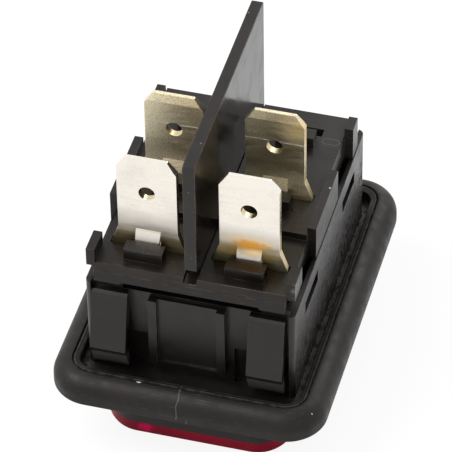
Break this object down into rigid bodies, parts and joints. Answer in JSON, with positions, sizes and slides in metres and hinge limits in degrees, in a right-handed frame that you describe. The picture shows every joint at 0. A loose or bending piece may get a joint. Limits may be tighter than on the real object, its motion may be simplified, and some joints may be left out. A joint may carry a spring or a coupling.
{
  "type": "illuminated rocker switch",
  "caption": "Snap-in illuminated rocker switch with a red rocker lens, rubber sealing frame, blade terminals and a barrier between its poles.",
  "frame": {"origin": "centre of the panel cut-out on the seating plane, the panel-side crest of the sealing frame", "axes": "+Z from the panel to the blade terminals, so the rocker faces -Z; X across the short side, which is the rocker's pivot direction; Y along the long side, with the proud end of the rocker towards -Y"},
  "size_m": [0.0292, 0.039, 0.0381],
  "materials": {
    "black_housing_nylon": "satin moulded nylon",
    "black_rubber": "matt rubber",
    "black_base_nylon": "fine-grained moulded nylon",
    "black_barrier_plastic": "smooth glossy plastic",
    "black_rocker_plastic": "satin moulded plastic",
    "red_lens": "deep red translucent plastic, stored opaque",
    "tinned_brass": "tinned, bright, stained near the base",
    "silver_contact": "polished silver alloy",
    "contact_copper": "rolled copper alloy",
    "white_plunger_plastic": "natural acetal",
    "spring_steel": "drawn wire",
    "lamp_glass": "clear glass",
    "resistor_enamel": "tan enamel",
    "tinned_wire": "tinned wire"
  },
  "bodies": {
    "switch_body": {"housing": "black_housing_nylon", "sealing_frame": "black_rubber", "terminal_base": "black_base_nylon", "pole_barrier": "black_barrier_plastic", "front_left_terminal": "tinned_brass", "front_right_terminal": "tinned_brass", "middle_left_terminal": "tinned_brass", "middle_right_terminal": "tinned_brass", "left_fixed_contact": "silver_contact", "right_fixed_contact": "silver_contact", "neon_lamp": "lamp_glass", "lamp_resistor": "resistor_enamel", "left_lamp_lead": "tinned_wire", "right_lamp_lead": "tinned_wire"},
    "rocker": {"rocker_body": "black_rocker_plastic", "rocker_lens": "red_lens"},
    "left_arm": {"left_contact_arm": "contact_copper", "left_moving_contact": "silver_contact"},
    "right_arm": {"right_contact_arm": "contact_copper", "right_moving_contact": "silver_contact"},
    "left_push": {"left_plunger": "white_plunger_plastic", "left_plunger_spring": "spring_steel"},
    "right_push": {"right_plunger": "white_plunger_plastic", "right_plunger_spring": "spring_steel"}
  },
  "joints": [
    {"name": "rocker_hinge", "type": "hinge", "parent": "switch_body", "child": "rocker", "pos_m": [0, 0, -0.0026], "axis": [1, 0, 0], "range_deg": [-16, 0]},
    {"name": "left_arm_hinge", "type": "hinge", "parent": "switch_body", "child": "left_arm", "pos_m": [-0.00532, -0.00035, 0.0064], "axis": [1, 0, 0], "range_deg": [0, 16]},
    {"name": "right_arm_hinge", "type": "hinge", "parent": "switch_body", "child": "right_arm", "pos_m": [0.00532, -0.00035, 0.0064], "axis": [1, 0, 0], "range_deg": [0, 16]},
    {"name": "left_plunger_slide", "type": "slide", "parent": "rocker", "child": "left_push", "axis": [0, -0.1392, 0.9903], "range_m": [-0.0008, 0.0002], "stiffness_N_per_m": 300, "deforming": ["left_plunger_spring"]},
    {"name": "right_plunger_slide", "type": "slide", "parent": "rocker", "child": "right_push", "axis": [0, -0.1392, 0.9903], "range_m": [-0.0008, 0.0002], "stiffness_N_per_m": 300, "deforming": ["right_plunger_spring"]}
  ],
  "couplings": [
    {"joint": "left_arm_hinge", "follows": "rocker_hinge", "ratio": -1},
    {"joint": "right_arm_hinge", "follows": "rocker_hinge", "ratio": -1}
  ]
}
